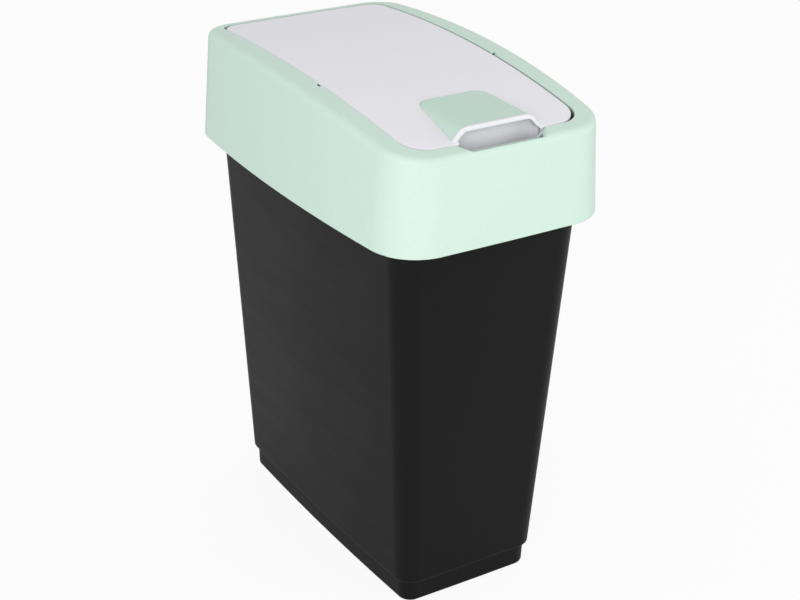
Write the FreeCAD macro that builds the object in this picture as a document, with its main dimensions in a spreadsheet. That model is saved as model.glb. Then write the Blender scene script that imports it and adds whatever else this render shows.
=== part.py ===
import FreeCAD, Part
import math
import os
from dataclasses import dataclass

import Sketcher
from FreeCAD import Placement, Rotation, Vector

# A flip-lid trash can: a tapered bin, a collar that stands on its rim, and a crowned
# flap that turns on two stub pins. Millimetres, +Z up, the front faces -Y, and the
# origin is on the floor under the middle of the collar.

# Driving dimensions: name, value, what it measures
DIMENSIONS = [
    ("rim_height", 312.0, "floor to the top of the bin's rim"),
    ("rim_half_width", 76.3, "bin at its rim, half of its width outside"),
    ("rim_half_length", 128.6, "bin at its rim, half of its length outside"),
    ("rim_corner", 18.6, "corner radius of the bin at its rim"),
    ("step_height", 17.5, "floor to the step above the foot"),
    ("taper_side", 18.3, "how far each long side of the bin draws in from the rim to the step"),
    ("taper_end", 12.4, "how far each end of the bin draws in from the rim to the step"),
    ("step_corner", 13.3, "corner radius of the bin at the step"),
    ("foot_inset", 3.0, "how far the foot stands back under the step"),
    ("foot_taper", 0.7, "how far the foot draws in from the step to the floor"),
    ("foot_round", 3.0, "rounding of the foot's lower edge"),
    ("step_round", 2.0, "rounding of the step's edge"),
    ("bin_side_bow", 2500.0, "radius of the bowed long sides of the bin"),
    ("bin_end_bow", 3600.0, "radius of the bowed ends of the bin"),
    ("bin_wall", 2.2, "wall of the bin"),
    ("bin_floor", 2.6, "floor of the bin"),
    ("flange_thickness", 3.0, "rim flange that carries the collar"),
    ("flange_round", 0.8, "rounding of the flange's edges"),
    ("flange_clearance", 0.6, "play between the flange and the collar's skirt"),
    ("collar_skirt", 32.0, "how far the collar reaches below the bin's rim"),
    ("overhang_side", 13.3, "collar at its lower edge, beyond the bin's rim at the sides"),
    ("overhang_end", 13.9, "collar at its lower edge, beyond the bin's rim at the ends"),
    ("collar_front_corner", 33.0, "front corner radius of the collar"),
    ("collar_rear_corner", 30.0, "rear corner radius of the collar"),
    ("collar_side_bow", 1300.0, "radius of the bowed long sides of the collar"),
    ("collar_end_bow", 4000.0, "radius of the bowed ends of the collar"),
    ("collar_draft", 3.5, "slope of the collar's skirt, degrees"),
    ("collar_wall", 2.2, "wall of the collar"),
    ("collar_lower_round", 0.9, "rounding of the collar's lower edge"),
    ("shoulder_round", 5.0, "rounding between the collar's skirt and its top band"),
    ("crown_radius", 1000.0, "radius of the crowned top, seen from the side"),
    ("crest_setback", 42.4, "crest of the crown, behind the middle"),
    ("crest_rise", 47.8, "bin's rim to the crest of the lid"),
    ("band_step", 0.3, "how far the collar's band stands above the lid"),
    ("band_side", 22.0, "collar's lower edge to the lid's edge, at the sides"),
    ("band_front", 16.7, "collar's lower edge to the lid's edge, at the front"),
    ("band_rear", 13.2, "collar's lower edge to the lid's edge, at the rear"),
    ("lid_front_corner", 20.0, "front corner radius of the lid"),
    ("lid_rear_corner", 13.0, "rear corner radius of the lid"),
    ("lid_side_bow", 3000.0, "radius of the bowed long edges of the lid"),
    ("lid_end_bow", 3000.0, "radius of the bowed ends of the lid"),
    ("lid_thickness", 1.8, "panel of the lid"),
    ("lid_skirt_wall", 1.8, "skirt under the lid's edge"),
    ("lid_edge_round", 1.0, "rounding of the lid's upper edge"),
    ("skirt_front_depth", 8.0, "skirt at the lid's front edge"),
    ("skirt_rear_depth", 5.0, "skirt at the lid's rear edge"),
    ("gap_side", 0.8, "gap between lid and collar at the sides"),
    ("gap_front", 1.6, "gap between lid and collar at the front"),
    ("gap_rear", 1.0, "gap between lid and collar at the rear"),
    ("corner_ease", 2.0, "how much sharper the opening's corners are than the lid's"),
    ("lip_wall", 2.2, "lip round the opening of the collar"),
    ("lip_depth", 16.0, "lip below the lid's front edge"),
    ("pivot_setforward", 19.6, "pivot axis in front of the middle"),
    ("pivot_drop", 4.5, "pivot axis below the lid's surface there"),
    ("pin_radius", 3.0, "stub pins of the lid"),
    ("pin_clearance", 0.05, "running clearance round a pin"),
    ("pin_root", 6.0, "pin inside the lid's skirt"),
    ("pin_reach", 5.4, "pin outside the lid's skirt"),
    ("slot_neck", 5.2, "neck through which a pin snaps into its seat"),
    ("slot_mouth", 6.4, "lead-in at the top of the seat"),
    ("pin_end_gap", 0.5, "play between a pin's end and the bottom of its seat"),
    ("seat_depth", 4.4, "pivot seat behind the lip"),
    ("seat_half_length", 8.0, "pivot seat, half of its length"),
    ("seat_height", 14.0, "pivot seat below the axis and above it"),
    ("hood_drop", 5.6, "crest of the lid to the top of the hood"),
    ("hood_half_top", 26.1, "hood, half of its flat top"),
    ("hood_half_foot", 35.0, "hood, half of its foot"),
    ("hood_slope", 48.3, "slope of the hood's sides, degrees"),
    ("hood_shoulder", 9.0, "rounding of the hood's long edges"),
    ("hood_run_out", 20.0, "hood behind the plate, where it sinks into the lid"),
    ("hood_wall", 1.3, "wall of the hood under the plate"),
    ("rim_depth", 3.0, "white rim in front of the plate"),
    ("rim_setback", 2.6, "how far the rim stands back from the lid's front edge"),
    ("rim_round", 0.7, "rounding of the rim's outer edge"),
    ("pocket_depth", 10.0, "finger pocket behind the front edge"),
    ("pocket_wall", 1.8, "walls of the finger pocket"),
    ("pocket_drop", 14.0, "finger pocket below the lid's front edge"),
    ("weight_thickness", 7.5, "weight bar that keeps the lid shut, front to back"),
    ("weight_end", 9.6, "lid's edge to the end of the weight bar"),
    ("plate_thickness", 1.2, "grip plate"),
    ("plate_length", 57.8, "lid's front edge to the plate's rear edge"),
    ("plate_half_rear", 26.0, "plate outline, half of its width at the rear"),
    ("plate_flare", 10.5, "flare of the plate's sides, degrees"),
    ("plate_corner", 13.0, "rear corner radius of the plate"),
    ("plate_clearance", 0.1, "play under the plate"),
    ("plate_seam", 0.3, "seam round the plate"),
    ("scoop_depth", 5.8, "finger scoop in the collar's front edge"),
    ("scoop_half_bottom", 27.5, "finger scoop, half of its floor"),
    ("scoop_half_top", 34.8, "finger scoop, half of its width at the top"),
    ("scoop_slope", 18.0, "rise of the scoop towards the front, degrees"),
    ("scoop_end_gap", 1.0, "how far the scoop's floor stops short of its ends"),
    ("rib_thickness", 2.0, "gusset ribs that stand on the rim"),
    ("side_rib_pitch", 45.0, "spacing of the ribs along the long sides"),
    ("side_rib_start", 85.0, "middle to the foremost side rib"),
    ("end_rib_offset", 46.0, "ribs at both ends, from the middle"),
    ("stop_inset", 18.6, "lid's edge to the middle of a stop pad"),
    ("stop_width", 14.0, "width of a stop pad"),
    ("stop_reach", 3.5, "how far a stop pad reaches under the lid"),
    ("stop_thickness", 2.6, "thickness of a stop pad"),
    ("stop_gap", 0.3, "play between the lid's skirt and a stop pad"),
]

SIDE_RIBS = 5
NODES = ("bin_body", "collar", "lid_panel", "grip_plate")

# How far a cutting shape runs past what it cuts
OVERRUN = 20.0

doc = FreeCAD.newDocument("flip_lid_trash_can")
sheet = doc.addObject("Spreadsheet::Sheet", "Sizes")


class Size:
    """A length or angle that knows its number and its formula in the sheet."""

    def __init__(self, text, number):
        self.text = text
        self.number = number

    def __add__(self, other):
        other = as_size(other)
        return Size(f"({self.text} + {other.text})", self.number + other.number)

    def __sub__(self, other):
        other = as_size(other)
        return Size(f"({self.text} - {other.text})", self.number - other.number)

    def __mul__(self, other):
        other = as_size(other)
        return Size(f"({self.text} * {other.text})", self.number * other.number)

    def __truediv__(self, other):
        other = as_size(other)
        return Size(f"({self.text} / {other.text})", self.number / other.number)

    def __neg__(self):
        return as_size(0) - self


def as_size(number):
    return number if isinstance(number, Size) else Size(str(float(number)), float(number))


def tangent(degrees):
    return Size(f"tan({degrees.text} * 1 deg)", math.tan(math.radians(degrees.number)))


def root(size):
    return Size(f"sqrt({size.text})", math.sqrt(size.number))


def write_sheet():
    """Fill the spreadsheet and return the sizes by name."""
    sizes = {}
    for row, (alias, number, meaning) in enumerate(DIMENSIONS, start=1):
        sheet.set(f"A{row}", meaning)
        sheet.set(f"B{row}", str(number))
        sheet.setAlias(f"B{row}", alias)
        sizes[alias] = Size(f"Sizes.{alias}", number)
    doc.recompute()
    return sizes


dim = write_sheet()

# Sizes that follow from the driving dimensions
dim["step_half_width"] = dim["rim_half_width"] - dim["taper_side"]
dim["step_half_length"] = dim["rim_half_length"] - dim["taper_end"]
dim["collar_height"] = dim["rim_height"] - dim["collar_skirt"]
dim["collar_half_width"] = dim["rim_half_width"] + dim["overhang_side"]
dim["collar_half_length"] = dim["rim_half_length"] + dim["overhang_end"]
dim["crest_height"] = dim["rim_height"] + dim["crest_rise"]
dim["lid_half_width"] = dim["collar_half_width"] - dim["band_side"]
dim["lid_front"] = dim["collar_half_length"] - dim["band_front"]
dim["lid_rear"] = dim["collar_half_length"] - dim["band_rear"]
dim["hood_height"] = dim["crest_height"] - dim["hood_drop"]
dim["hood_front"] = dim["lid_front"] - dim["rim_setback"]
dim["plate_rear"] = dim["lid_front"] - dim["plate_length"]
dim["hood_rear"] = dim["plate_rear"] - dim["hood_run_out"]


def bind(thing, name, size):
    thing.setExpression(name, as_size(size).text)


# Heights on the crown
def crown_height(forward):
    """Height of the lid's crown at a distance in front of the middle."""
    run = forward + dim["crest_setback"]
    radius = dim["crown_radius"]
    return dim["crest_height"] - radius + root(radius * radius - run * run)


LID_FRONT_HEIGHT = crown_height(dim["lid_front"])
PIVOT_HEIGHT = crown_height(dim["pivot_setforward"]) - dim["pivot_drop"]
LIP_BOTTOM = LID_FRONT_HEIGHT - dim["lip_depth"]


# Outlines seen from above
@dataclass
class Outline:
    """A rectangle with bowed sides and rounded corners."""

    half_width: Size
    front: Size
    rear: Size
    side_bow: Size
    end_bow: Size
    front_corner: Size
    rear_corner: Size

    def inset(self, step):
        """The parallel outline that lies inside this one."""
        return self.inset_each(step, step, step, step)

    def inset_each(self, side, front, rear, corner):
        return Outline(
            self.half_width - side,
            self.front - front,
            self.rear - rear,
            self.side_bow - side,
            self.end_bow - side,
            self.front_corner - corner,
            self.rear_corner - corner,
        )


def corner_centre(outline, end, corner):
    """Centre of the right corner arc at one end, which touches a side and that end."""
    side_x = outline.half_width.number - outline.side_bow.number
    end_y = end - outline.end_bow.number
    reach = outline.side_bow.number - corner
    end_reach = outline.end_bow.number - corner
    span = math.hypot(side_x, end_y)
    along = (reach**2 - end_reach**2 + span**2) / (2 * span)
    across = math.sqrt(reach**2 - along**2)
    towards = Vector(-side_x / span, end_y / span, 0)
    square = Vector(-towards.y, towards.x, 0)
    near = Vector(side_x, 0, 0) + towards * along
    candidates = (near + square * across, near - square * across)
    return max(candidates, key=lambda point: point.x + point.y)


def outline_arcs(outline):
    """The eight arcs of an outline, counter-clockwise from the right side."""
    side_bow = outline.side_bow.number
    end_bow = outline.end_bow.number
    right = Vector(outline.half_width.number - side_bow, 0, 0)
    rear = Vector(0, outline.rear.number - end_bow, 0)
    front = Vector(0, end_bow - outline.front.number, 0)
    rear_right = corner_centre(outline, outline.rear.number, outline.rear_corner.number)
    front_right = corner_centre(outline, outline.front.number, outline.front_corner.number)
    front_right.y = -front_right.y

    def mirrored(point):
        return Vector(-point.x, point.y, 0)

    def angle(start, end):
        return math.atan2(end.y - start.y, end.x - start.x)

    turn = 2 * math.pi
    low = angle(right, front_right)
    high = angle(right, rear_right)
    rear_low = angle(rear, rear_right)
    front_high = angle(front, front_right)
    spans = [
        (right, side_bow, low, high),
        (rear_right, outline.rear_corner.number, high, rear_low),
        (rear, end_bow, rear_low, math.pi - rear_low),
        (mirrored(rear_right), outline.rear_corner.number, math.pi - rear_low, math.pi - high),
        (mirrored(right), side_bow, math.pi - high, math.pi - low),
        (mirrored(front_right), outline.front_corner.number, math.pi - low, math.pi - front_high),
        (front, end_bow, -math.pi - front_high, front_high),
        (front_right, outline.front_corner.number, front_high, low),
    ]
    up = Vector(0, 0, 1)
    arcs = []
    for centre, radius, start, end in spans:
        circle = Part.Circle(centre, up, radius)
        arcs.append(Part.ArcOfCircle(circle, start % turn, end % turn))
    return arcs


def attach(sketch, body, role, offset):
    """Lay a sketch parallel to one of its body's own planes."""
    plane = next(item for item in body.Origin.OriginFeatures if item.Role == role)
    sketch.AttachmentSupport = [(plane, "")]
    sketch.MapMode = "FlatFace"
    bind(sketch, "AttachmentOffset.Base.z", offset)


def add_size(sketch, name, constraint, size):
    """Add a dimension with a name and tie it to the sheet."""
    index = sketch.addConstraint(constraint)
    sketch.renameConstraint(index, name)
    bind(sketch, f"Constraints.{name}", size)


def outline_sketch(body, name, outline, height):
    """Sketch an outline at a height."""
    sketch = body.newObject("Sketcher::SketchObject", name)
    attach(sketch, body, "XY_Plane", height)
    sketch.addGeometry(outline_arcs(outline), False)
    rules = [Sketcher.Constraint("Tangent", arc, 2, (arc + 1) % 8, 1) for arc in range(8)]
    rules += [Sketcher.Constraint("Equal", *pair) for pair in ((0, 4), (2, 6), (1, 3), (5, 7))]
    rules += [Sketcher.Constraint("PointOnObject", arc, 3, -1) for arc in (0, 4)]
    rules += [Sketcher.Constraint("PointOnObject", arc, 3, -2) for arc in (2, 6)]
    sketch.addConstraint(rules)
    radii = (
        ("side_bow", 0, outline.side_bow),
        ("rear_corner", 1, outline.rear_corner),
        ("end_bow", 2, outline.end_bow),
        ("front_corner", 5, outline.front_corner),
    )
    for label, arc, size in radii:
        add_size(sketch, label, Sketcher.Constraint("Radius", arc, size.number), size)
    side = outline.side_bow - outline.half_width
    rear = outline.end_bow - outline.rear
    front = outline.end_bow - outline.front
    places = (
        ("right_centre", "DistanceX", (0, 3, -1, 1), side),
        ("left_centre", "DistanceX", (-1, 1, 4, 3), side),
        ("rear_centre", "DistanceY", (2, 3, -1, 1), rear),
        ("front_centre", "DistanceY", (-1, 1, 6, 3), front),
    )
    for label, kind, points, size in places:
        add_size(sketch, label, Sketcher.Constraint(kind, *points, size.number), size)
    return sketch


# Features of a body
def new_body(name):
    return doc.addObject("PartDesign::Body", name)


def loft(body, name, kind, lower, upper):
    feature = body.newObject(f"PartDesign::{kind}Loft", name)
    feature.Profile = (lower, [""])
    feature.Sections = [(upper, [""])]
    feature.Ruled = True
    return feature


def pad(body, name, sketch, length, reversed_way=False):
    feature = body.newObject("PartDesign::Pad", name)
    feature.Profile = sketch
    feature.Reversed = reversed_way
    bind(feature, "Length", length)
    return feature


def prism(name, outline, bottom, top):
    """A body with straight walls over an outline."""
    body = new_body(name)
    sketch = outline_sketch(body, f"{name}_outline", outline, bottom)
    pad(body, f"{name}_pad", sketch, top - bottom)
    return body


def places(shape, picked):
    """Places of the picked edges in a shape, counted from one."""
    edges = enumerate(shape.Edges, start=1)
    return [place for place, edge in edges if any(edge.isSame(other) for other in picked)]


def level_rim(shape, height):
    """Outer edges of the level face at a height."""
    def is_level(face):
        box = face.BoundBox
        return box.ZLength < 1e-4 and abs(box.ZMin - height.number) < 1e-4

    faces = [face for face in shape.Faces if is_level(face)]
    return max(faces, key=lambda face: face.Area).OuterWire.Edges


def crown_rim(shape, radius):
    """Outer edges of the topmost face on a crown of a radius."""
    def is_crown(face):
        surface = face.Surface
        return isinstance(surface, Part.Cylinder) and abs(surface.Radius - radius.number) < 1e-6

    faces = [face for face in shape.Faces if is_crown(face)]
    return max(faces, key=lambda face: face.CenterOfMass.z).OuterWire.Edges


def round_edges(body, name, pick, radius):
    """Round the picked edges of a body's last feature."""
    doc.recompute()
    base = body.Tip
    feature = body.newObject("PartDesign::Fillet", name)
    feature.Base = (base, [f"Edge{place}" for place in places(base.Shape, pick(base.Shape))])
    bind(feature, "Radius", radius)
    return feature


# Shapes joined out of others
def cut(name, base, tool):
    feature = doc.addObject("Part::Cut", name)
    feature.Base = base
    feature.Tool = tool
    return feature


def common(name, base, tool):
    feature = doc.addObject("Part::Common", name)
    feature.Base = base
    feature.Tool = tool
    return feature


def fuse(name, shapes):
    feature = doc.addObject("Part::MultiFuse", name)
    feature.Shapes = shapes
    return feature


def box(name, low, high):
    """A box between two corners, each three sizes."""
    feature = doc.addObject("Part::Box", name)
    for prop, axis, start, end in zip(("Length", "Width", "Height"), "xyz", low, high):
        bind(feature, f"Placement.Base.{axis}", start)
        bind(feature, prop, as_size(end) - start)
    return feature


def rod(name, radius, start, end, forward, height):
    """A cylinder along X between two places, at a distance in front and a height."""
    feature = doc.addObject("Part::Cylinder", name)
    feature.Placement = Placement(Vector(), Rotation(Vector(0, 1, 0), 90))
    bind(feature, "Radius", radius)
    bind(feature, "Height", as_size(end) - start)
    bind(feature, "Placement.Base.x", start)
    bind(feature, "Placement.Base.y", -as_size(forward))
    bind(feature, "Placement.Base.z", height)
    return feature


def crown(name, rise):
    """Everything under the crown, raised or sunk by a distance."""
    half = dim["collar_half_width"] + OVERRUN
    axis_height = dim["crest_height"] - dim["crown_radius"]
    return rod(name, dim["crown_radius"] + rise, -half, half, -dim["crest_setback"], axis_height)


def rounded(name, base, pick, radius):
    """Round the picked edges of a joined shape."""
    doc.recompute()
    feature = doc.addObject("Part::Fillet", name)
    feature.Base = base
    shape = base.Shape
    feature.Edges = [(place, radius.number, radius.number) for place in places(shape, pick(shape))]
    return feature


# The bin
def bin_outline(half_width, half_length, corner):
    return Outline(
        half_width, half_length, half_length,
        dim["bin_side_bow"], dim["bin_end_bow"], corner, corner,
    )


def flange_outline():
    """The rim flange, which follows the inside of the collar's skirt."""
    rise = dim["rim_height"] - dim["collar_height"]
    step = rise * tangent(dim["collar_draft"]) + dim["collar_wall"] + dim["flange_clearance"]
    return collar_outline().inset(step)


def make_bin():
    body = new_body("bin_form")
    body.Label = "bin_body"
    step = bin_outline(dim["step_half_width"], dim["step_half_length"], dim["step_corner"])
    rim = bin_outline(dim["rim_half_width"], dim["rim_half_length"], dim["rim_corner"])
    foot = step.inset(dim["foot_inset"])
    base = foot.inset(dim["foot_taper"])
    wall = dim["bin_wall"]
    ledge = dim["step_height"] + wall

    lower = outline_sketch(body, "foot_lower", base, as_size(0))
    upper = outline_sketch(body, "foot_upper", foot, dim["step_height"])
    loft(body, "foot", "Additive", lower, upper)
    lower = outline_sketch(body, "step_outline", step, dim["step_height"])
    upper = outline_sketch(body, "rim_outline", rim, dim["rim_height"])
    loft(body, "walls", "Additive", lower, upper)
    flange = outline_sketch(body, "flange_outline", flange_outline(), dim["rim_height"])
    pad(body, "flange", flange, dim["flange_thickness"], reversed_way=True)

    low = outline_sketch(body, "foot_room_lower", base.inset(wall), dim["bin_floor"])
    high = outline_sketch(body, "foot_room_upper", foot.inset(wall), ledge)
    loft(body, "foot_room", "Subtractive", low, high)
    low = outline_sketch(body, "room_lower", step.inset(wall), ledge)
    high = outline_sketch(body, "room_upper", rim.inset(wall), dim["rim_height"])
    loft(body, "room", "Subtractive", low, high)

    flange_bottom = dim["rim_height"] - dim["flange_thickness"]

    def flange_edges(shape):
        return level_rim(shape, dim["rim_height"]) + level_rim(shape, flange_bottom)

    round_edges(body, "flange_rounding", flange_edges, dim["flange_round"])
    round_edges(body, "step_rounding", lambda shape: level_rim(shape, dim["step_height"]), dim["step_round"])
    round_edges(body, "foot_rounding", lambda shape: level_rim(shape, as_size(0)), dim["foot_round"])
    return body


# The collar
def collar_outline():
    return Outline(
        dim["collar_half_width"], dim["collar_half_length"], dim["collar_half_length"],
        dim["collar_side_bow"], dim["collar_end_bow"],
        dim["collar_front_corner"], dim["collar_rear_corner"],
    )


def lid_outline():
    return Outline(
        dim["lid_half_width"], dim["lid_front"], dim["lid_rear"],
        dim["lid_side_bow"], dim["lid_end_bow"],
        dim["lid_front_corner"], dim["lid_rear_corner"],
    )


def opening_outline():
    """The collar's opening: the lid and the gap round it."""
    return lid_outline().inset_each(
        -dim["gap_side"], -dim["gap_front"], -dim["gap_rear"], dim["corner_ease"],
    )


def collar_skin(name, inset, bottom, rise):
    """The collar's outer form, or its inside, up to the crown."""
    body = new_body(f"{name}_form")
    top = dim["crest_height"] + OVERRUN
    slope = tangent(dim["collar_draft"])
    outline = collar_outline().inset(inset)
    lower = outline.inset((bottom - dim["collar_height"]) * slope)
    upper = outline.inset((top - dim["collar_height"]) * slope)
    low = outline_sketch(body, f"{name}_lower", lower, bottom)
    high = outline_sketch(body, f"{name}_upper", upper, top)
    loft(body, f"{name}_loft", "Additive", low, high)
    return common(f"{name}_block", body, crown(f"{name}_crown", rise))


def shoulder(name, block, rise, radius):
    """Round the edge between a skin's skirt and its crown."""
    crown_radius = dim["crown_radius"] + rise
    return rounded(name, block, lambda shape: crown_rim(shape, crown_radius), radius)


def scoop_body(name, thickness, end_gap):
    """The wedge that opens the collar's front edge for the fingers, or the floor under it."""
    body = new_body(name)
    edge = dim["lid_front"] + dim["gap_front"]
    floor = LID_FRONT_HEIGHT + dim["band_step"] - dim["scoop_depth"]
    side = (dim["scoop_half_top"] - dim["scoop_half_bottom"]) / dim["scoop_depth"]
    top = dim["crest_height"]
    sketches = []
    for label, forward in (("inner", edge - OVERRUN), ("outer", dim["collar_half_length"] + OVERRUN)):
        low = floor + (forward - edge) * tangent(dim["scoop_slope"]) - thickness
        half_low = dim["scoop_half_bottom"] - end_gap - thickness * side
        half_high = half_low + (top - low) * side
        sketch = trapezium(body, f"{name}_{label}", forward, half_low, half_high, low, top)
        sketches.append(sketch)
    loft(body, f"{name}_loft", "Additive", *sketches)
    return body


def trapezium(body, name, forward, half_low, half_high, low, high):
    """Sketch a trapezium across the front, at a distance in front of the middle."""
    sketch = body.newObject("Sketcher::SketchObject", name)
    attach(sketch, body, "XZ_Plane", forward)
    points = [
        Vector(-half_low.number, low.number, 0),
        Vector(half_low.number, low.number, 0),
        Vector(half_high.number, high.number, 0),
        Vector(-half_high.number, high.number, 0),
    ]
    sides = [Part.LineSegment(points[side], points[(side + 1) % 4]) for side in range(4)]
    sketch.addGeometry(sides, False)
    rules = [Sketcher.Constraint("Coincident", side, 2, (side + 1) % 4, 1) for side in range(4)]
    rules += [Sketcher.Constraint("Symmetric", side, 1, side, 2, -2) for side in (0, 2)]
    sketch.addConstraint(rules)
    sizes = (
        ("low", "DistanceY", (-1, 1, 0, 1), low),
        ("high", "DistanceY", (-1, 1, 2, 1), high),
        ("low_width", "DistanceX", (0, 1, 0, 2), half_low * 2),
        ("high_width", "DistanceX", (2, 2, 2, 1), half_high * 2),
    )
    for label, kind, points, size in sizes:
        add_size(sketch, label, Sketcher.Constraint(kind, *points, size.number), size)
    return sketch


def rib_slabs():
    """Slabs that become the ribs between the lip and the skirt."""
    half = dim["rib_thickness"] / 2
    top = dim["crest_height"]
    across = dim["collar_half_width"]
    along = dim["collar_half_length"]
    slabs = []
    for place in range(SIDE_RIBS):
        middle = dim["side_rib_pitch"] * place - dim["side_rib_start"]
        low = (-across, middle - half, dim["rim_height"])
        slabs.append(box(f"side_rib_{place}", low, (across, middle + half, top)))
    for label, middle in (("left", -dim["end_rib_offset"]), ("right", dim["end_rib_offset"])):
        low = (middle - half, -along, dim["rim_height"])
        slabs.append(box(f"end_rib_{label}", low, (middle + half, along, top)))
    return slabs


def keyhole_sketch(body):
    """Pin seat with a snap-in neck and a lead-in, open at the top."""
    sketch = body.newObject("Sketcher::SketchObject", "keyhole")
    attach(sketch, body, "YZ_Plane", -(dim["lid_half_width"] + OVERRUN))
    middle = -dim["pivot_setforward"].number
    axis = PIVOT_HEIGHT
    bore = dim["pin_radius"] + dim["pin_clearance"]
    half_neck = dim["slot_neck"] / 2
    half_mouth = dim["slot_mouth"] / 2
    surface = axis + dim["pivot_drop"] + dim["band_step"]
    bend = surface - (half_mouth - half_neck)
    top = surface + OVERRUN
    sink = math.sqrt(bore.number**2 - half_neck.number**2)
    shoulder_height = axis.number + sink
    opening = math.atan2(sink, half_neck.number)
    circle = Part.Circle(Vector(middle, axis.number, 0), Vector(0, 0, 1), bore.number)
    wide = half_mouth.number + (top - surface).number
    right = [
        Vector(middle + half_neck.number, shoulder_height, 0),
        Vector(middle + half_neck.number, bend.number, 0),
        Vector(middle + wide, top.number, 0),
    ]
    left = [Vector(2 * middle - point.x, point.y, 0) for point in right]
    sketch.addGeometry(Part.ArcOfCircle(circle, math.pi - opening, opening), False)
    corners = right + left[::-1]
    lines = [Part.LineSegment(start, end) for start, end in zip(corners, corners[1:])]
    sketch.addGeometry(lines, False)
    rules = [Sketcher.Constraint("Coincident", 0, 2, 1, 1)]
    rules += [Sketcher.Constraint("Coincident", side, 2, side + 1, 1) for side in range(1, 5)]
    rules += [Sketcher.Constraint("Coincident", 5, 2, 0, 1)]
    rules += [Sketcher.Constraint("Vertical", side) for side in (1, 5)]
    rules += [Sketcher.Constraint("Horizontal", 3)]
    rules += [Sketcher.Constraint("Equal", 1, 5), Sketcher.Constraint("Equal", 2, 4)]
    sketch.addConstraint(rules)
    sizes = (
        ("bore", "Radius", (0,), bore),
        ("axis_y", "DistanceX", (0, 3, -1, 1), dim["pivot_setforward"]),
        ("axis_z", "DistanceY", (-1, 1, 0, 3), axis),
        ("neck", "DistanceX", (5, 1, 1, 2), half_neck * 2),
        ("bend", "DistanceY", (-1, 1, 1, 2), bend),
        ("top", "DistanceY", (-1, 1, 3, 1), top),
        ("top_width", "DistanceX", (3, 2, 3, 1), (half_mouth + top - surface) * 2),
    )
    for label, kind, points, size in sizes:
        add_size(sketch, label, Sketcher.Constraint(kind, *points, size.number), size)
    return sketch


def keyholes():
    """The slot for both pins, right across the opening and into the seats behind the lip."""
    body = new_body("keyholes")
    sketch = keyhole_sketch(body)
    pad(body, "keyholes_pad", sketch, (dim["lid_half_width"] + OVERRUN) * 2)
    reach = dim["lid_half_width"] + dim["gap_side"] + dim["lip_wall"]
    middle = -dim["pivot_setforward"]
    half = dim["slot_mouth"]
    low = (-reach, middle - half, LIP_BOTTOM)
    high = (reach, middle + half, dim["crest_height"] + OVERRUN)
    upper = common("keyholes_in_lip", body, box("keyhole_span", low, high))
    bore = dim["pin_radius"] + dim["pin_clearance"]
    end = dim["lid_half_width"] + dim["pin_reach"] + dim["pin_end_gap"]
    lower = rod("seat_bore", bore, -end, end, dim["pivot_setforward"], PIVOT_HEIGHT)
    return fuse("pin_seats", [upper, lower])


def pivot_seats():
    """Blocks behind the lip that lengthen the pin seats."""
    inner = dim["lid_half_width"] + dim["gap_side"]
    outer = inner + dim["lip_wall"] + dim["seat_depth"]
    middle = -dim["pivot_setforward"]
    low = (-outer, middle - dim["seat_half_length"], PIVOT_HEIGHT - dim["seat_height"])
    high = (outer, middle + dim["seat_half_length"], PIVOT_HEIGHT + dim["seat_height"])
    return box("seat_block", low, high)


def stop_pads():
    """Pads on the lip, under the front edge of the closed lid."""
    edge = -(dim["lid_front"] + dim["gap_front"])
    inner = -dim["lid_front"] + dim["stop_reach"]
    top = LID_FRONT_HEIGHT - dim["skirt_front_depth"] - dim["stop_gap"]
    half = dim["stop_width"] / 2
    offset = dim["lid_half_width"] - dim["stop_inset"]
    pads = []
    for label, middle in (("left", -offset), ("right", offset)):
        low = (middle - half, edge - dim["lip_wall"] / 2, top - dim["stop_thickness"])
        pads.append(box(f"stop_{label}", low, (middle + half, inner, top)))
    return pads


def make_collar():
    wall = dim["collar_wall"]
    step = dim["band_step"]
    sunk = step - wall
    outer = collar_skin("skin", as_size(0), dim["collar_height"], step)
    outer = shoulder("skin_shoulder", outer, step, dim["shoulder_round"])
    outer = rounded(
        "skin_lower_edge", outer,
        lambda shape: level_rim(shape, dim["collar_height"]), dim["collar_lower_round"],
    )
    inner = collar_skin("inside", wall, dim["collar_height"] - OVERRUN, sunk)
    inner = shoulder("inside_shoulder", inner, sunk, dim["shoulder_round"] - wall)

    opening = opening_outline()
    lip = opening.inset(-dim["lip_wall"])
    top = dim["crest_height"] + OVERRUN
    lip_block = prism("lip_block", lip, LIP_BOTTOM, top)
    lip_column = prism("lip_column", lip, dim["rim_height"] - OVERRUN, top)
    hole = prism("opening", opening, dim["collar_height"] - OVERRUN, top)
    scoop_floor = scoop_body("scoop_floor", wall, dim["scoop_end_gap"])

    kept = fuse("kept_inside", [lip_block, scoop_floor, pivot_seats()])
    room = cut("collar_room", inner, kept)
    shell = cut("collar_shell", outer, room)
    rib_room = cut("rib_room", inner, lip_column)
    ribs = common("ribs", rib_room, fuse("rib_slabs", rib_slabs()))
    ribbed = fuse("ribbed_shell", [shell, ribs])
    open_shell = cut("open_shell", ribbed, hole)
    stopped = fuse("shell_with_stops", [open_shell] + stop_pads())
    scooped = cut("scooped_shell", stopped, scoop_body("scoop", as_size(0), as_size(0)))
    collar = cut("collar_solid", scooped, keyholes())
    collar.Label = "collar"
    return collar


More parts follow.
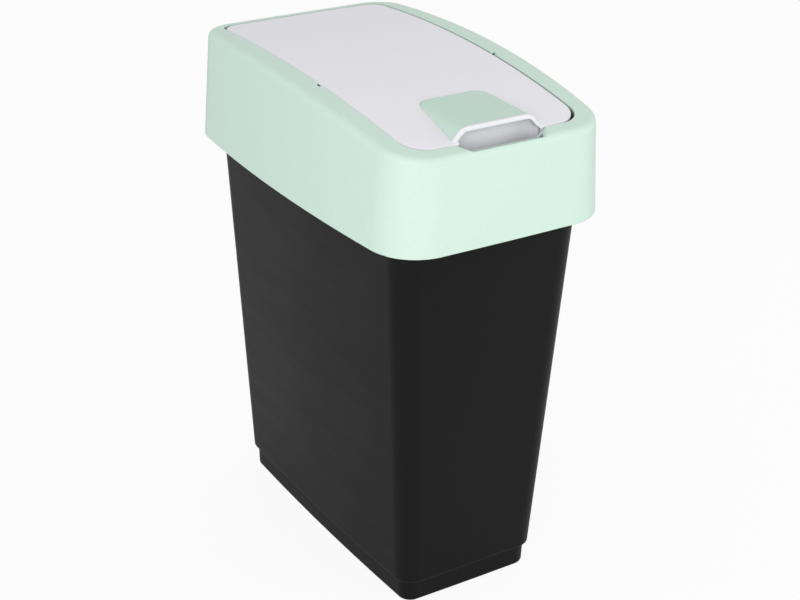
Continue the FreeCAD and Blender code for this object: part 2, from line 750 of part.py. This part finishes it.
# The lid
def hood_profile(body, name, inset, forward, bottom):
    """Sketch the hood seen from the front: legs, sloped sides, rounded shoulders and top."""
    sketch = body.newObject("Sketcher::SketchObject", name)
    attach(sketch, body, "XZ_Plane", forward)
    slope = dim["hood_slope"]
    square = as_size(90)
    half_top = dim["hood_half_top"] - inset * tangent(slope / 2)
    half_foot = dim["hood_half_foot"] - inset
    top = dim["hood_height"] - inset
    rise = (dim["hood_half_foot"] - dim["hood_half_top"]) * tangent(slope)
    foot = dim["hood_height"] - rise - inset * tangent((square - slope) / 2)
    radius = dim["hood_shoulder"] - inset
    cut_back = radius.number * math.tan(math.radians(slope.number / 2))
    lean = math.radians(slope.number)
    down = Vector(math.cos(lean), -math.sin(lean), 0)
    corner = Vector(half_top.number, top.number, 0)
    right = [
        Vector(half_foot.number, bottom.number, 0),
        Vector(half_foot.number, foot.number, 0),
        corner + down * cut_back,
        corner - Vector(cut_back, 0, 0),
    ]
    left = [Vector(-point.x, point.y, 0) for point in right]
    up = Vector(0, 0, 1)
    arc_right = Part.Circle(right[3] - Vector(0, radius.number, 0), up, radius.number)
    arc_left = Part.Circle(left[3] - Vector(0, radius.number, 0), up, radius.number)
    quarter = math.pi / 2
    sketch.addGeometry([
        Part.LineSegment(left[0], right[0]),
        Part.LineSegment(right[0], right[1]),
        Part.LineSegment(right[1], right[2]),
        Part.ArcOfCircle(arc_right, quarter - lean, quarter),
        Part.LineSegment(right[3], left[3]),
        Part.ArcOfCircle(arc_left, quarter, quarter + lean),
        Part.LineSegment(left[2], left[1]),
        Part.LineSegment(left[1], left[0]),
    ], False)
    rules = [Sketcher.Constraint("Coincident", line, 2, (line + 1) % 8, 1) for line in (0, 1, 6, 7)]
    rules += [Sketcher.Constraint("Tangent", line, 2, line + 1, 1) for line in (2, 3, 4, 5)]
    rules += [Sketcher.Constraint("Horizontal", line) for line in (0, 4)]
    rules += [Sketcher.Constraint("Vertical", line) for line in (1, 7)]
    rules += [Sketcher.Constraint("Equal", 3, 5)]
    sketch.addConstraint(rules)
    lean_size = Size(f"{slope.text} * 1 deg", lean)
    right_lean = Size(f"180 deg - {lean_size.text}", math.pi - lean)
    left_lean = Size(f"180 deg + {lean_size.text}", math.pi + lean)
    sizes = (
        ("bottom", "DistanceY", (-1, 1, 0, 1), bottom),
        ("top", "DistanceY", (-1, 1, 4, 1), top),
        ("right_foot", "DistanceX", (-1, 1, 1, 2), half_foot),
        ("left_foot", "DistanceX", (7, 1, -1, 1), half_foot),
        ("right_foot_height", "DistanceY", (-1, 1, 1, 2), foot),
        ("left_foot_height", "DistanceY", (-1, 1, 7, 1), foot),
        ("shoulder", "Radius", (3,), radius),
        ("right_slope", "Angle", (2,), right_lean),
        ("left_slope", "Angle", (6,), left_lean),
    )
    for label, kind, points, size in sizes:
        add_size(sketch, label, Sketcher.Constraint(kind, *points, size.number), size)
    return sketch


def hood_prism(name, inset, front, rear, bottom):
    """The hood's section drawn out from its front to its rear."""
    body = new_body(name)
    sketch = hood_profile(body, f"{name}_profile", inset, front, bottom)
    pad(body, f"{name}_pad", sketch, front - rear, reversed_way=True)
    return body


def plate_sketch(body, name, growth):
    """Sketch the plate from above: a straight front, flared sides and round rear corners."""
    sketch = body.newObject("Sketcher::SketchObject", name)
    attach(sketch, body, "XY_Plane", LID_FRONT_HEIGHT - dim["skirt_front_depth"])
    front = dim["hood_front"] - dim["rim_depth"] + growth
    rear = dim["plate_rear"] - growth
    half_rear = dim["plate_half_rear"] + growth
    half_front = half_rear + (front - rear) * tangent(dim["plate_flare"])
    radius = dim["plate_corner"] + growth
    flare = math.radians(dim["plate_flare"].number)
    turn = math.pi / 2 - flare
    cut_back = radius.number * math.tan(turn / 2)
    along = Vector(math.sin(flare), -math.cos(flare), 0)
    corner = Vector(half_rear.number, -rear.number, 0)
    right = [
        Vector(half_front.number, -front.number, 0),
        corner + along * cut_back,
        corner - Vector(cut_back, 0, 0),
    ]
    left = [Vector(-point.x, point.y, 0) for point in right]
    up = Vector(0, 0, 1)
    arc_right = Part.Circle(right[2] - Vector(0, radius.number, 0), up, radius.number)
    arc_left = Part.Circle(left[2] - Vector(0, radius.number, 0), up, radius.number)
    quarter = math.pi / 2
    sketch.addGeometry([
        Part.LineSegment(left[0], right[0]),
        Part.LineSegment(right[0], right[1]),
        Part.ArcOfCircle(arc_right, quarter - turn, quarter),
        Part.LineSegment(right[2], left[2]),
        Part.ArcOfCircle(arc_left, quarter, quarter + turn),
        Part.LineSegment(left[1], left[0]),
    ], False)
    rules = [Sketcher.Constraint("Coincident", line, 2, (line + 1) % 6, 1) for line in (0, 5)]
    rules += [Sketcher.Constraint("Tangent", line, 2, line + 1, 1) for line in (1, 2, 3, 4)]
    rules += [Sketcher.Constraint("Horizontal", line) for line in (0, 3)]
    rules += [Sketcher.Constraint("Equal", 2, 4)]
    sketch.addConstraint(rules)
    flare_size = f"{dim['plate_flare'].text} * 1 deg"
    right_flare = Size(f"90 deg + {flare_size}", quarter + flare)
    left_flare = Size(f"270 deg - {flare_size}", 3 * quarter - flare)
    sizes = (
        ("front", "DistanceY", (0, 1, -1, 1), front),
        ("rear", "DistanceY", (3, 1, -1, 1), rear),
        ("right_front", "DistanceX", (-1, 1, 0, 2), half_front),
        ("left_front", "DistanceX", (0, 1, -1, 1), half_front),
        ("corner", "Radius", (2,), radius),
        ("right_flare", "Angle", (1,), right_flare),
        ("left_flare", "Angle", (5,), left_flare),
    )
    for label, kind, points, size in sizes:
        add_size(sketch, label, Sketcher.Constraint(kind, *points, size.number), size)
    return sketch


def plate_column(name, growth):
    body = new_body(name)
    sketch = plate_sketch(body, f"{name}_outline", growth)
    pad(body, f"{name}_pad", sketch, dim["skirt_front_depth"] + OVERRUN)
    return body


def hood_bottom():
    """Foot of the hood's sloped sides, and a little more."""
    rise = (dim["hood_half_foot"] - dim["hood_half_top"]) * tangent(dim["hood_slope"])
    return dim["hood_height"] - rise - dim["lid_thickness"]


def hood_form(name):
    return hood_prism(name, as_size(0), dim["hood_front"], dim["hood_rear"], hood_bottom())


def lid_block(name, inset, rise):
    """The lid's outline up to the crown."""
    bottom = LID_FRONT_HEIGHT - dim["skirt_front_depth"] - OVERRUN
    column = prism(f"{name}_column", lid_outline().inset(inset), bottom, dim["crest_height"] + OVERRUN)
    return common(f"{name}_block", column, crown(f"{name}_crown", rise))


def under_skirt():
    """Everything under the lower edge of the lid's skirt, which is shallow at the rear."""
    radius = dim["crown_radius"]
    front = dim["lid_front"]
    rear = dim["lid_rear"]
    front_height = LID_FRONT_HEIGHT - dim["skirt_front_depth"]
    rear_height = crown_height(-rear) - dim["skirt_rear_depth"]
    lift = rear_height - front_height
    span = front + rear
    chord = root(span * span + lift * lift)
    sag = root(radius * radius - chord * chord / 4)
    setback = (rear - front) / 2 + sag * lift / chord
    centre_height = (front_height + rear_height) / 2 - sag * span / chord
    half = dim["lid_half_width"] + OVERRUN
    return rod("under_skirt", radius, -half, half, -setback, centre_height)


def make_lid():
    none = as_size(0)
    wall = dim["lid_skirt_wall"]
    outer = cut("lid_slab", lid_block("lid", none, none), under_skirt())
    outer = shoulder("lid_edge", outer, none, dim["lid_edge_round"])
    inner = lid_block("lid_inside", wall, -dim["lid_thickness"])
    hood = hood_form("hood")

    def rim_edges(shape):
        face = min(shape.Faces, key=lambda item: item.CenterOfMass.y)
        return [edge for edge in face.Edges if edge.CenterOfMass.z > hood_bottom().number + 1e-3]

    round_edges(hood, "rim_rounding", rim_edges, dim["rim_round"])
    shell = cut("lid_shell", fuse("lid_and_hood", [outer, hood]), inner)

    seat_inset = dim["plate_thickness"] + dim["plate_clearance"]
    room_inset = dim["plate_thickness"] + dim["hood_wall"]
    back = dim["lid_front"] - dim["pocket_depth"]
    behind = back - dim["pocket_wall"]
    pocket_low = LID_FRONT_HEIGHT - dim["pocket_drop"]
    half = dim["hood_half_foot"] - room_inset + dim["pocket_wall"]
    low = (-half, dim["rim_depth"] / 2 - dim["hood_front"], pocket_low)
    high = (half, -behind, hood_bottom() + dim["lid_thickness"] * 2)
    pocket = box("pocket_block", low, high)
    front_room = hood_prism("pocket_room", room_inset, dim["lid_front"] + OVERRUN, back, pocket_low - OVERRUN)
    rear_room = hood_prism("hood_room", room_inset, behind, dim["plate_rear"], pocket_low)
    body = fuse("lid_with_pocket", [shell, pocket])
    body = cut("lid_open_pocket", body, front_room)
    body = cut("lid_hollow_hood", body, rear_room)

    recess = common("recess_outline", hood_form("hood_whole"), plate_column("recess", dim["plate_seam"]))
    seat = hood_prism("plate_seat", seat_inset, dim["hood_front"], dim["hood_rear"], hood_bottom() - OVERRUN)
    recess = cut("recess_over_seat", recess, seat)
    recess = cut("recess_over_lid", recess, crown("recess_floor", none))
    body = cut("lid_recessed", body, recess)

    root_x = dim["lid_half_width"] - dim["pin_root"]
    end_x = dim["lid_half_width"] + dim["pin_reach"]
    pivot = (dim["pivot_setforward"], PIVOT_HEIGHT)
    right = rod("pin_right", dim["pin_radius"], root_x, end_x, *pivot)
    left = rod("pin_left", dim["pin_radius"], -end_x, -root_x, *pivot)
    bar_half = dim["lid_half_width"] - dim["weight_end"]
    bar_low = (-bar_half, -behind, pocket_low)
    bar_high = (bar_half, dim["weight_thickness"] - behind, dim["crest_height"])
    bar_crown = crown("weight_crown", -dim["lid_thickness"] / 2)
    bar = common("weight_bar", box("weight_block", bar_low, bar_high), bar_crown)
    lid = fuse("lid_solid", [body, left, right, bar])
    lid.Label = "lid_panel"
    return lid


def make_plate():
    none = as_size(0)
    bottom = hood_bottom() - OVERRUN
    blank = common("plate_blank", hood_form("hood_skin"), plate_column("plate", none))
    under = hood_prism("plate_under", dim["plate_thickness"], dim["hood_front"], dim["hood_rear"], bottom)
    plate = cut("plate_over_seat", blank, under)
    plate = cut("plate_solid", plate, crown("plate_floor", dim["plate_clearance"]))
    plate.Label = "grip_plate"
    return plate


def check_document():
    """Stop if any object failed or any sub-part isn't one valid solid."""
    for item in doc.Objects:
        if {"Invalid", "Error"} & set(item.State):
            raise RuntimeError(f"{item.Name} failed: {item.State}")
    for label in NODES:
        shape = doc.getObjectsByLabel(label)[0].Shape
        if shape.isNull() or not shape.isValid() or len(shape.Solids) != 1:
            raise RuntimeError(f"{label} is not one valid solid: {len(shape.Solids)} solids")


def write_parts():
    os.makedirs("parts", exist_ok=True)
    for label in NODES:
        shape = doc.getObjectsByLabel(label)[0].Shape
        shape.exportStep(f"parts/{label}.step")
        low = shape.BoundBox
        print(f"{label}: {shape.Volume / 1000:.1f} cm3, z {low.ZMin:.2f} to {low.ZMax:.2f}")


make_bin()
make_collar()
make_lid()
make_plate()
doc.recompute()
check_document()
write_parts()
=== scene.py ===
# %% [markdown]
# # A flip-lid trash can
# The can has four mouldings: a black bin, a mint collar, a white flap lid and a mint grip plate.
# Their shapes are exact CAD solids, so this lesson spends its effort on the finishes, the light
# and the camera. Every length is in metres, and the front of the can faces -Y.

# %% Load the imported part
import math

import bmesh
import bpy
from mathutils import Matrix, Vector

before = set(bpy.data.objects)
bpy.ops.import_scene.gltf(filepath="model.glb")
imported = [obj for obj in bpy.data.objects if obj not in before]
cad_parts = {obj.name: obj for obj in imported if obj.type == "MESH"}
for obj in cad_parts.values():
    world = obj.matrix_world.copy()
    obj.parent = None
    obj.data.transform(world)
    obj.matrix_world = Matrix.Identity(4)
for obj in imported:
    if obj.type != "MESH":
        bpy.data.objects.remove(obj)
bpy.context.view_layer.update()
scene = bpy.context.scene
print("nodes:", sorted(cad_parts))

# %% [markdown]
# ## The camera
# The photograph was taken from the front left, from above, with a long lens. A camera is a matrix
# whose columns are its right, its up, the way back from the subject, and its place. Building that
# matrix from an azimuth, an elevation and a roll keeps each number readable.

# %% Place the camera
LOOK_AT = Vector((-0.0719, -0.1311, 0.2522))
CAMERA_DISTANCE = 1.06
CAMERA_AZIMUTH = math.radians(-32.92)
CAMERA_ELEVATION = math.radians(26.03)
CAMERA_ROLL = math.radians(1.37)
LENS_MM = 76.49
SENSOR_MM = 36.0
FRAME_SHIFT = (-0.0048, -0.0018)


def camera_matrix(look_at, distance, azimuth, elevation, roll):
    flat = math.cos(elevation)
    back = Vector((math.sin(azimuth) * flat, -math.cos(azimuth) * flat, math.sin(elevation)))
    level = Vector((math.cos(azimuth), math.sin(azimuth), 0))
    upright = back.cross(level)
    right = level * math.cos(roll) + upright * math.sin(roll)
    up = upright * math.cos(roll) - level * math.sin(roll)
    matrix = Matrix((right, up, back)).transposed().to_4x4()
    matrix.translation = look_at + back * distance
    return matrix


lens = bpy.data.cameras.new("photo_lens")
lens.sensor_width = SENSOR_MM
lens.lens = LENS_MM
lens.shift_x, lens.shift_y = FRAME_SHIFT
camera = bpy.data.objects.new("photo_camera", lens)
camera.matrix_world = camera_matrix(
    LOOK_AT, CAMERA_DISTANCE, CAMERA_AZIMUTH, CAMERA_ELEVATION, CAMERA_ROLL
)
scene.collection.objects.link(camera)
scene.camera = camera
print("camera at", tuple(round(v, 3) for v in camera.location))

# %% [markdown]
# ## Small helpers for node trees
# A material is a graph of nodes. A few helpers keep the graphs short: one adds a node and sets its
# properties and its inputs, one makes a node group with named sockets, one places such a group,
# and one mixes two colours. A group is the node editor's function: it is built once, and each
# finish places it with its own values.

# %% Node helpers
def add_node(tree, kind, inputs=None, **settings):
    """Add a node, set its properties, and feed or fill its inputs by name or place."""
    node = tree.nodes.new(kind)
    for name, setting in settings.items():
        setattr(node, name, setting)
    for socket, source in (inputs or {}).items():
        if isinstance(source, bpy.types.NodeSocket):
            tree.links.new(source, node.inputs[socket])
        else:
            node.inputs[socket].default_value = source
    return node


def new_group(name, inputs, outputs):
    """A shader node group with its input node and its output node."""
    group = bpy.data.node_groups.new(name, "ShaderNodeTree")
    for socket, kind in inputs.items():
        group.interface.new_socket(socket, in_out="INPUT", socket_type=kind)
    for socket, kind in outputs.items():
        group.interface.new_socket(socket, in_out="OUTPUT", socket_type=kind)
    given = group.nodes.new("NodeGroupInput").outputs
    result = group.nodes.new("NodeGroupOutput").inputs
    return group, given, result


def place_group(tree, group, inputs):
    """Place a group in a material and give its outputs."""
    return add_node(tree, "ShaderNodeGroup", node_tree=group, inputs=inputs).outputs


# A Mix node keeps sockets for every kind of data, so its colour sockets are named by their place.
MIX_FIRST, MIX_SECOND, MIX_RESULT = 6, 7, 2


def mix_colours(tree, share, first, second):
    """A socket that goes from the first colour to the second as share goes from 0 to 1."""
    inputs = {"Factor": share, MIX_FIRST: first, MIX_SECOND: second}
    return add_node(tree, "ShaderNodeMix", data_type="RGBA", inputs=inputs).outputs[MIX_RESULT]


def opaque(colour):
    return (*colour, 1.0)


VECTOR = "NodeSocketVector"
VALUE = "NodeSocketFloat"
print("node helpers ready")

# %% [markdown]
# ## Spark-eroded grain
# The steel mould of such a bin is spark-eroded, which leaves a fine pebbled grain on the plastic.
# A bitmap would tile and smear, so the grain is two procedural patterns in Object coordinates:
# soft pebbles from a noise, and small pits from a Voronoi pattern. The group gives a height for a
# Bump node and a slow fleck that tints the colour by a hair.

# %% The grain group
PIT_SHARE = 0.35
grain_group, given, result = new_group(
    "spark_eroded_grain",
    {"Coordinate": VECTOR, "Grains per metre": VALUE},
    {"Height": VALUE, "Fleck": VALUE},
)
fine = add_node(
    grain_group, "ShaderNodeVectorMath", operation="SCALE",
    inputs={"Vector": given["Coordinate"], "Scale": given["Grains per metre"]},
)
pebbles = add_node(
    grain_group, "ShaderNodeTexNoise",
    inputs={"Vector": fine.outputs["Vector"], "Scale": 1.0, "Detail": 2.0, "Roughness": 0.55},
)
pits = add_node(
    grain_group, "ShaderNodeTexVoronoi",
    inputs={"Vector": fine.outputs["Vector"], "Scale": 0.6, "Randomness": 1.0},
)
pit_depth = add_node(
    grain_group, "ShaderNodeMath", operation="MULTIPLY",
    inputs={0: pits.outputs["Distance"], 1: PIT_SHARE},
)
height = add_node(
    grain_group, "ShaderNodeMath", operation="ADD",
    inputs={0: pebbles.outputs["Fac"], 1: pit_depth.outputs["Value"]},
)
fleck = add_node(
    grain_group, "ShaderNodeTexNoise",
    inputs={"Vector": fine.outputs["Vector"], "Scale": 0.22, "Detail": 3.0, "Roughness": 0.6},
)
grain_group.links.new(height.outputs["Value"], result["Height"])
grain_group.links.new(fleck.outputs["Fac"], result["Fleck"])
print("made", grain_group.name)

# %% [markdown]
# ## Handled gloss
# Plastic that has been wiped and carried isn't equally dull everywhere. A broad noise makes
# patches a little smoother or duller, and a second noise, squeezed hard along one axis, makes
# faint wipe marks. Both only shift the roughness, so they show in reflections and nowhere else.

# %% The gloss group
WIPE_TURN = (0.3, 0.2, 0.5)
WIPES_PER_METRE = (240.0, 9.0, 120.0)
gloss_group, given, result = new_group(
    "handled_gloss",
    {"Coordinate": VECTOR, "Roughness": VALUE, "Spread": VALUE},
    {"Roughness": VALUE},
)
patches = add_node(
    gloss_group, "ShaderNodeTexNoise",
    inputs={"Vector": given["Coordinate"], "Scale": 11.0, "Detail": 4.0, "Roughness": 0.55},
)
wipe_space = add_node(
    gloss_group, "ShaderNodeMapping",
    inputs={"Vector": given["Coordinate"], "Rotation": WIPE_TURN, "Scale": WIPES_PER_METRE},
)
wipes = add_node(
    gloss_group, "ShaderNodeTexNoise",
    inputs={"Vector": wipe_space.outputs["Vector"], "Scale": 1.0, "Detail": 3.0, "Roughness": 0.6},
)
both = add_node(
    gloss_group, "ShaderNodeMath", operation="ADD",
    inputs={0: patches.outputs["Fac"], 1: wipes.outputs["Fac"]},
)
# The two noises together average 1, so taking 1 away centres the shift on zero.
centred = add_node(
    gloss_group, "ShaderNodeMath", operation="SUBTRACT", inputs={0: both.outputs["Value"], 1: 1.0}
)
shifted = add_node(
    gloss_group, "ShaderNodeMath", operation="MULTIPLY_ADD",
    inputs={0: centred.outputs["Value"], 1: given["Spread"], 2: given["Roughness"]},
)
gloss_group.links.new(shifted.outputs["Value"], result["Roughness"])
print("made", gloss_group.name)

# %% [markdown]
# ## Rubbed edges
# Edges meet hands, cloths and shelves first, so they turn a little paler and smoother. The Bevel
# node gives the normal that a rounded edge would have. Where that normal leaves the true one, an
# edge is near, and a patchy noise keeps the rubbing uneven.

# %% The rubbing group
EDGE_SAMPLES = 4
rub_group, given, result = new_group(
    "rubbed_edges", {"Coordinate": VECTOR, "Width": VALUE}, {"Rub": VALUE}
)
round_edge = add_node(
    rub_group, "ShaderNodeBevel", samples=EDGE_SAMPLES, inputs={"Radius": given["Width"]}
)
surface = add_node(rub_group, "ShaderNodeNewGeometry")
likeness = add_node(
    rub_group, "ShaderNodeVectorMath", operation="DOT_PRODUCT",
    inputs={0: round_edge.outputs["Normal"], 1: surface.outputs["Normal"]},
)
near_edge = add_node(
    rub_group, "ShaderNodeMapRange",
    inputs={
        "Value": likeness.outputs["Value"], "From Min": 0.99, "From Max": 0.86,
        "To Min": 0.0, "To Max": 1.0,
    },
)
patch = add_node(
    rub_group, "ShaderNodeTexNoise",
    inputs={"Vector": given["Coordinate"], "Scale": 55.0, "Detail": 3.0, "Roughness": 0.6},
)
uneven = add_node(
    rub_group, "ShaderNodeMapRange",
    inputs={
        "Value": patch.outputs["Fac"], "From Min": 0.35, "From Max": 0.7,
        "To Min": 0.25, "To Max": 1.0,
    },
)
rub = add_node(
    rub_group, "ShaderNodeMath", operation="MULTIPLY",
    inputs={0: near_edge.outputs["Result"], 1: uneven.outputs["Result"]},
)
rub_group.links.new(rub.outputs["Value"], result["Rub"])
print("made", rub_group.name)

# %% [markdown]
# ## Painted shade in the seams
# The gap round the lid and the other deep places get painted shade, so they look almost black.
# Ambient
# Occlusion tells how much of the sky near a point is shut off. Open faces keep their colour, and
# only the narrow gaps, the pin seats and the deep corners are painted darker.

# %% The seam group
OCCLUSION_SAMPLES = 8
seam_shade_group, given, result = new_group("painted_seam_shade", {"Reach": VALUE}, {"Painted shade": VALUE})
openness = add_node(
    seam_shade_group, "ShaderNodeAmbientOcclusion", samples=OCCLUSION_SAMPLES,
    inputs={"Distance": given["Reach"]},
)
shut_in = add_node(
    seam_shade_group, "ShaderNodeMapRange",
    inputs={
        "Value": openness.outputs["AO"], "From Min": 0.38, "From Max": 0.14,
        "To Min": 0.0, "To Max": 1.0,
    },
)
seam_shade_group.links.new(shut_in.outputs["Result"], result["Painted shade"])
print("made", seam_shade_group.name)

# %% [markdown]
# ## One recipe for moulded plastic
# All four mouldings are coloured through in the granulate, so they share one recipe: a base
# colour with a hair of fleck, paler rubbed edges, painted shade in the seams, a roughness that
# wanders, and the grain as bump. Only the values differ. Numbers that are the same all over go
# straight on the shader.

# %% The plastic recipe
SEAM_REACH = 0.006
# The near-black colour of the painted shade in seams and deep corners.
SEAM_SHADE_COLOUR = (0.012, 0.013, 0.012)
FLECK_SPREAD = 0.035
RUB_SMOOTHING = 0.08


def moulded_plastic(name, colour, rubbed, roughness, spread, specular, grains, depth, edge):
    """A material for one moulding. Colours are linear, lengths in metres."""
    material = bpy.data.materials.new(name)
    material.use_nodes = True
    tree = material.node_tree
    shader = tree.nodes["Principled BSDF"]
    shader.inputs["Specular IOR Level"].default_value = specular
    place = add_node(tree, "ShaderNodeTexCoord").outputs["Object"]
    grain = place_group(tree, grain_group, {"Coordinate": place, "Grains per metre": grains})
    gloss = place_group(
        tree, gloss_group, {"Coordinate": place, "Roughness": roughness, "Spread": spread}
    )
    worn = place_group(tree, rub_group, {"Coordinate": place, "Width": edge})
    seam = place_group(tree, seam_shade_group, {"Reach": SEAM_REACH})
    deep = tuple((1.0 - FLECK_SPREAD) * channel for channel in colour)
    pale = tuple((1.0 + FLECK_SPREAD) * channel for channel in colour)
    flecked = mix_colours(tree, grain["Fleck"], opaque(deep), opaque(pale))
    handled = mix_colours(tree, worn["Rub"], flecked, opaque(rubbed))
    # Painted shade: where occlusion is strong, the colour goes to near-black.
    seam_shaded = mix_colours(tree, seam["Painted shade"], handled, opaque(SEAM_SHADE_COLOUR))
    smoother = add_node(
        tree, "ShaderNodeMath", operation="MULTIPLY_ADD",
        inputs={0: worn["Rub"], 1: -RUB_SMOOTHING, 2: gloss["Roughness"]},
    )
    bump = add_node(
        tree, "ShaderNodeBump",
        inputs={"Height": grain["Height"], "Strength": 1.0, "Distance": depth},
    )
    tree.links.new(seam_shaded, shader.inputs["Base Color"])
    tree.links.new(smoother.outputs["Value"], shader.inputs["Roughness"])
    tree.links.new(bump.outputs["Normal"], shader.inputs["Normal"])
    return material


print("plastic recipe ready")

# %% [markdown]
# ## The four finishes
# The bin is a near-black satin. The collar is a pale mint, and the grip plate the same mint a
# shade deeper. The lid is a cool white. The grain is about half a millimetre across.

# %% Finish the mouldings
FINISHES = {
    "bin_body": dict(
        colour=(0.0038, 0.0039, 0.0037), rubbed=(0.005, 0.005, 0.0048), roughness=0.46, spread=0.10,
        specular=0.13, grains=1900.0, depth=0.00002, edge=0.0012,
    ),
    "collar": dict(
        colour=(0.572, 0.728, 0.642), rubbed=(0.61, 0.765, 0.68), roughness=0.5, spread=0.08,
        specular=0.35, grains=1900.0, depth=0.000015, edge=0.0012,
    ),
    "lid_panel": dict(
        colour=(0.785, 0.778, 0.82), rubbed=(0.82, 0.815, 0.845), roughness=0.48, spread=0.08,
        specular=0.35, grains=1900.0, depth=0.000015, edge=0.001,
    ),
    "grip_plate": dict(
        colour=(0.53, 0.69, 0.6), rubbed=(0.59, 0.745, 0.66), roughness=0.5, spread=0.08,
        specular=0.35, grains=1900.0, depth=0.000015, edge=0.0008,
    ),
}
for node, values in FINISHES.items():
    finish = moulded_plastic(f"{node}_plastic", **values)
    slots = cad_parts[node].material_slots
    for slot in slots:
        slot.material = finish
    print(node, "has", finish.name, "in", len(slots), "slot")

# %% [markdown]
# ## The floor
# The can stands on white paper. The floor is one large square. Seen by the camera or through
# glass it is nearly white by itself, and a mirror sees a fifth of that white, so the picture's
# ground is white, and a small share of real shading keeps the soft shadow under the foot.

# %% Tell background rays from lighting rays
def background_rays(tree, mirror_share):
    """A socket that is 1 where the camera or a glass looks, mirror_share in reflections, else 0."""
    ray = add_node(tree, "ShaderNodeLightPath").outputs
    mirrored = add_node(
        tree, "ShaderNodeMath", operation="MULTIPLY",
        inputs={0: ray["Is Glossy Ray"], 1: mirror_share},
    )
    shown = add_node(
        tree, "ShaderNodeMath", operation="MAXIMUM",
        inputs={0: ray["Is Camera Ray"], 1: mirrored.outputs["Value"]},
    )
    return add_node(
        tree, "ShaderNodeMath", operation="MAXIMUM",
        inputs={0: shown.outputs["Value"], 1: ray["Is Transmission Ray"]},
    ).outputs["Value"]


# %% Lay the floor
FLOOR_HALF = 4.0
SHADOW_SHARE = 0.1
FLOOR_IN_MIRRORS = 0.2
PURE_WHITE = (1.0, 1.0, 1.0)
PAPER_WHITE = (0.9, 0.9, 0.9)
PAPER_GREY = (0.88, 0.88, 0.88)
FIBRES_PER_METRE = 300.0
floor_mesh = bpy.data.meshes.new("paper_floor")
sheet = bmesh.new()
bmesh.ops.create_grid(sheet, x_segments=1, y_segments=1, size=FLOOR_HALF)
sheet.to_mesh(floor_mesh)
sheet.free()
floor = bpy.data.objects.new("paper_floor", floor_mesh)
scene.collection.objects.link(floor)

paper = bpy.data.materials.new("white_paper")
paper.use_nodes = True
tree = paper.node_tree
tree.nodes.remove(tree.nodes["Principled BSDF"])
whiteness = add_node(
    tree, "ShaderNodeMath", operation="MULTIPLY",
    inputs={0: background_rays(tree, FLOOR_IN_MIRRORS), 1: 1.0 - SHADOW_SHARE},
)
place = add_node(tree, "ShaderNodeTexCoord").outputs["Object"]
fibre = add_node(tree, "ShaderNodeTexNoise", inputs={"Vector": place, "Scale": FIBRES_PER_METRE})
paper_tone = mix_colours(tree, fibre.outputs["Fac"], opaque(PAPER_GREY), opaque(PAPER_WHITE))
lit = add_node(tree, "ShaderNodeBsdfDiffuse", inputs={"Color": paper_tone})
white = add_node(
    tree, "ShaderNodeEmission", inputs={"Color": opaque(PURE_WHITE), "Strength": 1.0}
)
ground = add_node(
    tree, "ShaderNodeMixShader",
    inputs={0: whiteness.outputs["Value"], 1: lit.outputs["BSDF"], 2: white.outputs["Emission"]},
)
tree.links.new(ground.outputs["Shader"], tree.nodes["Material Output"].inputs["Surface"])
floor_mesh.materials.append(paper)
print("floor is", 2 * FLOOR_HALF, "m square")

# %% [markdown]
# ## The light
# The photograph has the even light of a white tent with a large soft lamp near the camera and a
# weaker one on the right. The world is the tent: it lights everything equally, and the camera
# sees it as white. The front lamp lifts the faces that look at the camera and reaches into the
# finger pocket, and the right lamp keeps the narrow front a little brighter than the long side.

# %% Light the tent
TENT_LIGHT = 0.69
TENT_IN_MIRRORS = 1.0
world = bpy.data.worlds.new("white_tent")
world.use_nodes = True
scene.world = world
tree = world.node_tree
tree.nodes.remove(tree.nodes["Background"])
tent = add_node(
    tree, "ShaderNodeBackground", inputs={"Color": opaque(PURE_WHITE), "Strength": TENT_LIGHT}
)
backdrop = add_node(
    tree, "ShaderNodeBackground", inputs={"Color": opaque(PURE_WHITE), "Strength": 1.0}
)
around = add_node(
    tree, "ShaderNodeMixShader",
    inputs={
        0: background_rays(tree, TENT_IN_MIRRORS),
        1: tent.outputs["Background"], 2: backdrop.outputs["Background"],
    },
)
tree.links.new(around.outputs["Shader"], tree.nodes["World Output"].inputs["Surface"])
print("tent light is", TENT_LIGHT)


# %% Set up the lamps
CAN_MIDDLE = Vector((0.0, 0.0, 0.2))


def soft_lamp(name, place, size, watts):
    """A round soft lamp that looks at the middle of the can."""
    lamp = bpy.data.lights.new(name, "AREA")
    lamp.shape = "DISK"
    lamp.size = size
    lamp.energy = watts
    holder = bpy.data.objects.new(name, lamp)
    holder.location = place
    holder.rotation_euler = (CAN_MIDDLE - Vector(place)).to_track_quat("-Z", "Y").to_euler()
    scene.collection.objects.link(holder)
    print(name, "gives", watts, "W")


soft_lamp("front_softbox", place=(-1.32, -1.67, 1.07), size=1.6, watts=25.0)
soft_lamp("right_softbox", place=(1.9, -1.2, 0.9), size=1.4, watts=10.0)
scene.view_settings.view_transform = "Standard"
